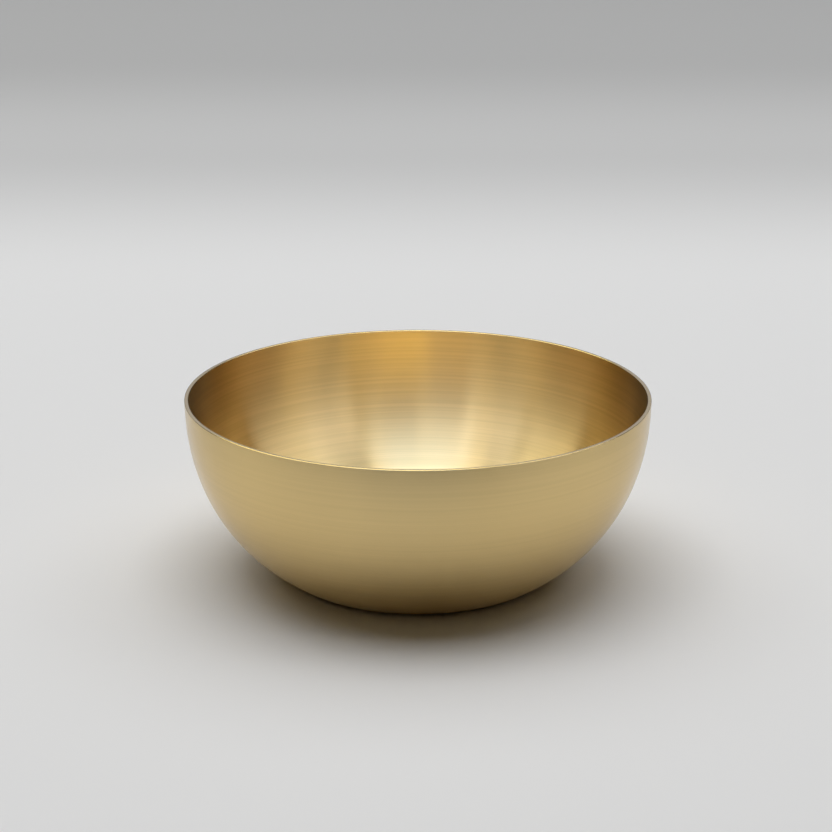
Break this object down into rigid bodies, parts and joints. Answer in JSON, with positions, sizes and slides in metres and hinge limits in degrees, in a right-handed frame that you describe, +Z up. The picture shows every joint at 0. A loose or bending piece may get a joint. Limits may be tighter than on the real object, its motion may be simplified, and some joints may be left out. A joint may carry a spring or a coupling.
{
  "type": "bowl",
  "caption": "Round open serving bowl spun from brass sheet, brushed satin inside and out, with a plain ground rim and a dished base that stands on a bonded felt disc.",
  "frame": {"origin": "centre of the underside of the felt disc, on the bowl's axis, at the level of the table it stands on", "axes": "+Z up along the axis of revolution, from the base to the open rim; the bowl is round, so X and Y are any two level directions"},
  "size_m": [0.18, 0.18, 0.071],
  "materials": {
    "brass": "satin",
    "adhesive_film": "gloss",
    "felt": "matte"
  },
  "bodies": {
    "root": {"bowl_shell": "brass", "pad_adhesive": "adhesive_film", "base_pad": "felt"}
  },
  "joints": []
}
